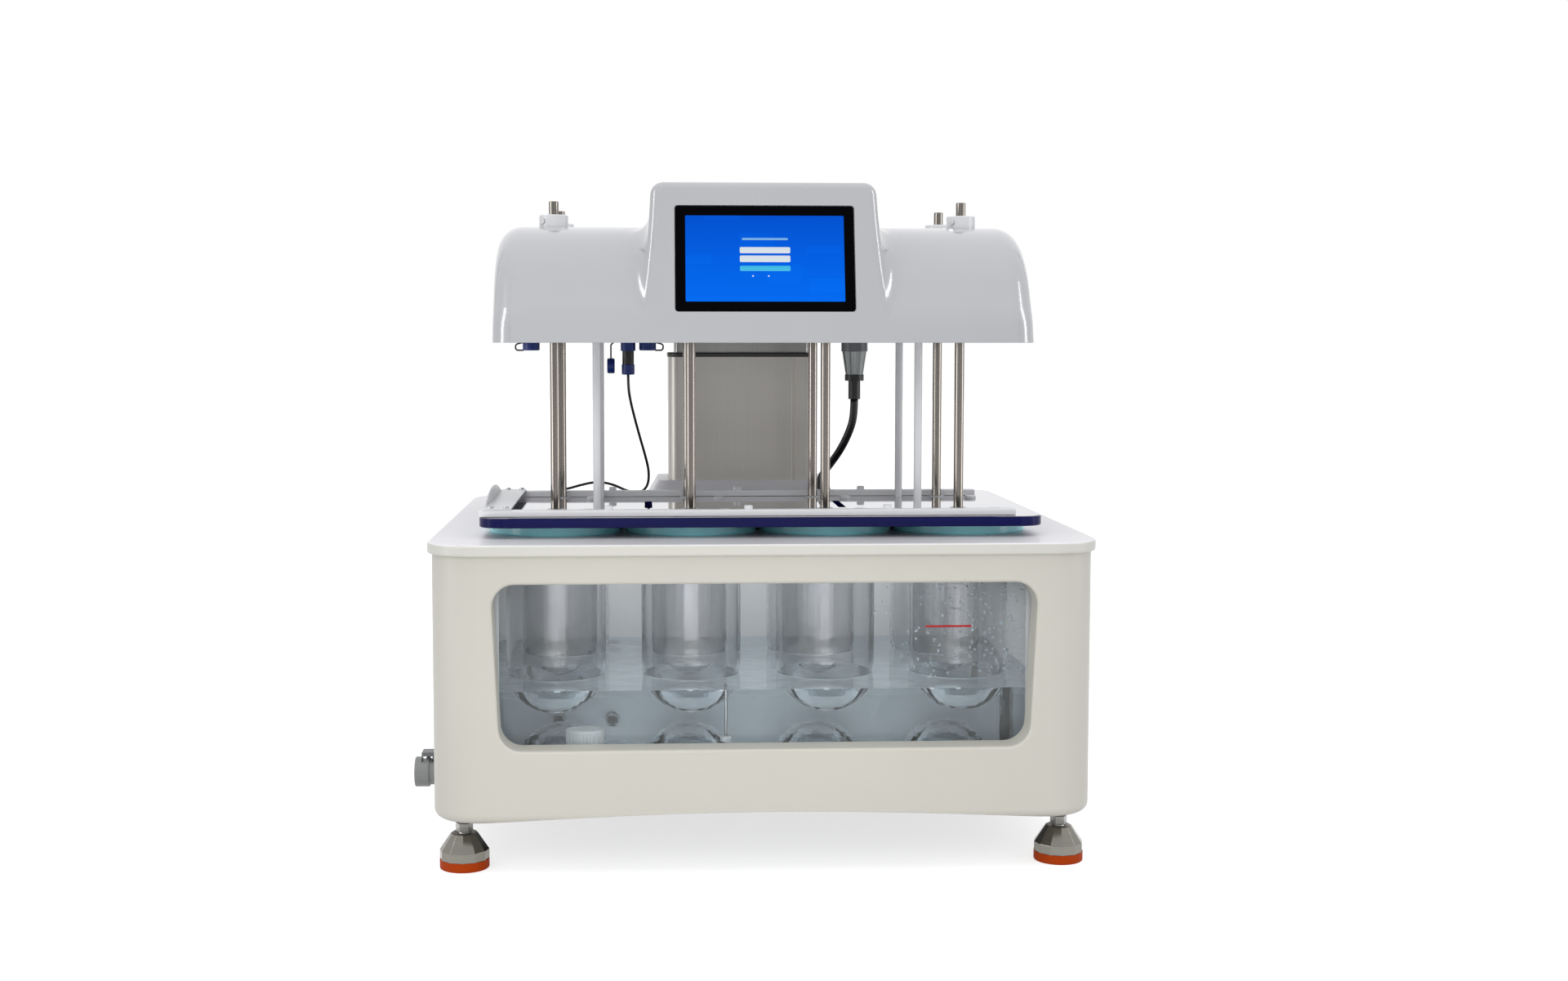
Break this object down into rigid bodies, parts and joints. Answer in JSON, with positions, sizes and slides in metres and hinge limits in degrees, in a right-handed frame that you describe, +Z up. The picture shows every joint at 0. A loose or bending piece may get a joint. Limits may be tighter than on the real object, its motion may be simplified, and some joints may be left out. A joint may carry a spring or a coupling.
{
  "type": "tablet dissolution tester",
  "caption": "Bench dissolution tester: paddle shafts hang from a head on a lifting column over round-bottomed glass vessels in a windowed water bath.",
  "frame": {"origin": "middle of the bounding box, on the surface that the feet stand on", "axes": "+X to the right, +Y to the back, +Z up, with the vessels and the display at the front"},
  "size_m": [0.6876, 0.603, 0.6767],
  "materials": {
    "cream_moulding": "satin cream moulding",
    "white_moulding": "smooth white plastic",
    "head_moulding": "glossy pale grey moulding",
    "frame_paint": "powder-coated sheet and plate",
    "handle_paint": "white powder coat",
    "clear_acrylic": "clear acrylic",
    "vessel_glass": "clear borosilicate glass",
    "cyan_moulding": "cyan moulding",
    "navy_gloss": "polished navy plate",
    "dark_moulding": "dark grey plastic",
    "black_moulding": "black plastic",
    "grey_moulding": "mid grey plastic",
    "latch_grey": "darker grey plastic",
    "plug_grey": "grey metal and plastic plug bodies",
    "blue_rubber": "dark blue elastomer",
    "orange_rubber": "orange-red rubber",
    "hose_rubber": "translucent grey hose",
    "belt_rubber": "black toothed belt",
    "cable_black": "black cable jacket",
    "bright_steel": "turned stainless steel",
    "shaft_steel": "polished stainless steel",
    "column_aluminium": "satin anodised aluminium",
    "display_glass": "black glass touch panel"
  },
  "bodies": {
    "base": {"base_housing": "cream_moulding", "deck_slab": "white_moulding", "base_frame": "frame_paint", "bath_tank": "clear_acrylic", "bath_fittings": "white_moulding", "circulator": "dark_moulding", "water_lines": "hose_rubber", "drain_coupling": "grey_moulding", "vessel_rings": "cyan_moulding", "front_vessels": "vessel_glass", "rear_vessels": "vessel_glass", "cover_plate": "navy_gloss", "plate_inserts": "dark_moulding", "column_outer": "column_aluminium", "column_skirt": "white_moulding", "lift_motor": "dark_moulding", "power_inlet": "black_moulding", "foot_cups": "bright_steel", "foot_pads": "orange_rubber"},
    "foot_stud_1": {"levelling_stud_1": "bright_steel"},
    "foot_stud_2": {"levelling_stud_2": "bright_steel"},
    "foot_stud_3": {"levelling_stud_3": "bright_steel"},
    "foot_stud_4": {"levelling_stud_4": "bright_steel"},
    "dosing_slide": {"dosing_bars": "white_moulding", "slide_handle": "handle_paint", "handle_screws": "bright_steel"},
    "latch": {"coupling_latch": "latch_grey"},
    "switch": {"power_switch": "black_moulding"},
    "lift_spindle": {"lift_screw": "bright_steel"},
    "head": {"head_shell": "head_moulding", "touch_display": "display_glass", "head_frame": "frame_paint", "column_inner": "column_aluminium", "spindle_bearings": "bright_steel", "drive_belts": "belt_rubber", "drive_motor": "dark_moulding", "probe_rods": "white_moulding", "signal_sockets": "bright_steel", "socket_caps": "blue_rubber", "cable_plugs": "plug_grey", "signal_cable": "cable_black", "power_cable": "cable_black"},
    "drive_pulley": {"motor_pulley": "grey_moulding"},
    "spindle_1": {"drive_hub_1": "white_moulding", "paddle_1": "shaft_steel"},
    "spindle_2": {"drive_hub_2": "white_moulding", "paddle_2": "shaft_steel"},
    "spindle_3": {"drive_hub_3": "white_moulding", "paddle_3": "shaft_steel"},
    "spindle_4": {"drive_hub_4": "white_moulding", "paddle_4": "shaft_steel"},
    "spindle_5": {"drive_hub_5": "white_moulding", "paddle_5": "shaft_steel"},
    "spindle_6": {"drive_hub_6": "white_moulding", "paddle_6": "shaft_steel"},
    "spindle_7": {"drive_hub_7": "white_moulding", "paddle_7": "shaft_steel"},
    "spindle_8": {"drive_hub_8": "white_moulding", "paddle_8": "shaft_steel"}
  },
  "joints": [
    {"name": "foot_turn_1", "type": "hinge", "parent": "base", "child": "foot_stud_1", "pos_m": [-0.28525, -0.255, 0.045], "axis": [0, 0, 1], "continuous": true},
    {"name": "foot_turn_2", "type": "hinge", "parent": "base", "child": "foot_stud_2", "pos_m": [0.30975, -0.255, 0.045], "axis": [0, 0, 1], "continuous": true},
    {"name": "foot_turn_3", "type": "hinge", "parent": "base", "child": "foot_stud_3", "pos_m": [-0.28525, 0.255, 0.045], "axis": [0, 0, 1], "continuous": true},
    {"name": "foot_turn_4", "type": "hinge", "parent": "base", "child": "foot_stud_4", "pos_m": [0.30975, 0.255, 0.045], "axis": [0, 0, 1], "continuous": true},
    {"name": "head_lift", "type": "slide", "parent": "base", "child": "head", "axis": [0, 0, 1], "range_m": [-0.104, 0.045], "deforming": ["signal_cable", "power_cable"]},
    {"name": "lift_screw_turn", "type": "hinge", "parent": "base", "child": "lift_spindle", "pos_m": [0.01225, 0.227, 0.2], "axis": [0, 0, 1], "range_deg": [-815, 1880]},
    {"name": "drive_spin", "type": "hinge", "parent": "head", "child": "drive_pulley", "pos_m": [-0.05775, 0.0805, 0.57], "axis": [0, 0, 1], "continuous": true},
    {"name": "spindle_spin_1", "type": "hinge", "parent": "head", "child": "spindle_1", "pos_m": [-0.19775, -0.1535, 0.5], "axis": [0, 0, 1], "continuous": true},
    {"name": "spindle_spin_2", "type": "hinge", "parent": "head", "child": "spindle_2", "pos_m": [-0.05775, -0.1535, 0.5], "axis": [0, 0, 1], "continuous": true},
    {"name": "spindle_spin_3", "type": "hinge", "parent": "head", "child": "spindle_3", "pos_m": [0.08225, -0.1535, 0.5], "axis": [0, 0, 1], "continuous": true},
    {"name": "spindle_spin_4", "type": "hinge", "parent": "head", "child": "spindle_4", "pos_m": [0.22225, -0.1535, 0.5], "axis": [0, 0, 1], "continuous": true},
    {"name": "spindle_spin_5", "type": "hinge", "parent": "head", "child": "spindle_5", "pos_m": [-0.19775, -0.0035, 0.5], "axis": [0, 0, 1], "continuous": true},
    {"name": "spindle_spin_6", "type": "hinge", "parent": "head", "child": "spindle_6", "pos_m": [-0.05775, -0.0035, 0.5], "axis": [0, 0, 1], "continuous": true},
    {"name": "spindle_spin_7", "type": "hinge", "parent": "head", "child": "spindle_7", "pos_m": [0.08225, -0.0035, 0.5], "axis": [0, 0, 1], "continuous": true},
    {"name": "spindle_spin_8", "type": "hinge", "parent": "head", "child": "spindle_8", "pos_m": [0.22225, -0.0035, 0.5], "axis": [0, 0, 1], "continuous": true},
    {"name": "dosing_push", "type": "slide", "parent": "base", "child": "dosing_slide", "axis": [1, 0, 0], "range_m": [0, 0.022]},
    {"name": "latch_press", "type": "slide", "parent": "base", "child": "latch", "axis": [0, 0, -1], "range_m": [0, 0.002], "stiffness_N_per_m": 400, "springref_m": -0.002},
    {"name": "switch_rock", "type": "hinge", "parent": "base", "child": "switch", "pos_m": [0.20225, 0.2975, 0.127], "axis": [1, 0, 0], "range_deg": [0, 16]}
  ],
  "couplings": [
    {"joint": "lift_screw_turn", "follows": "head_lift", "rad_per_m": -314.16},
    {"joint": "spindle_spin_1", "follows": "drive_spin", "ratio": 1},
    {"joint": "spindle_spin_2", "follows": "drive_spin", "ratio": 1},
    {"joint": "spindle_spin_3", "follows": "drive_spin", "ratio": 1},
    {"joint": "spindle_spin_4", "follows": "drive_spin", "ratio": 1},
    {"joint": "spindle_spin_5", "follows": "drive_spin", "ratio": 1},
    {"joint": "spindle_spin_6", "follows": "drive_spin", "ratio": 1},
    {"joint": "spindle_spin_7", "follows": "drive_spin", "ratio": 1},
    {"joint": "spindle_spin_8", "follows": "drive_spin", "ratio": 1}
  ]
}
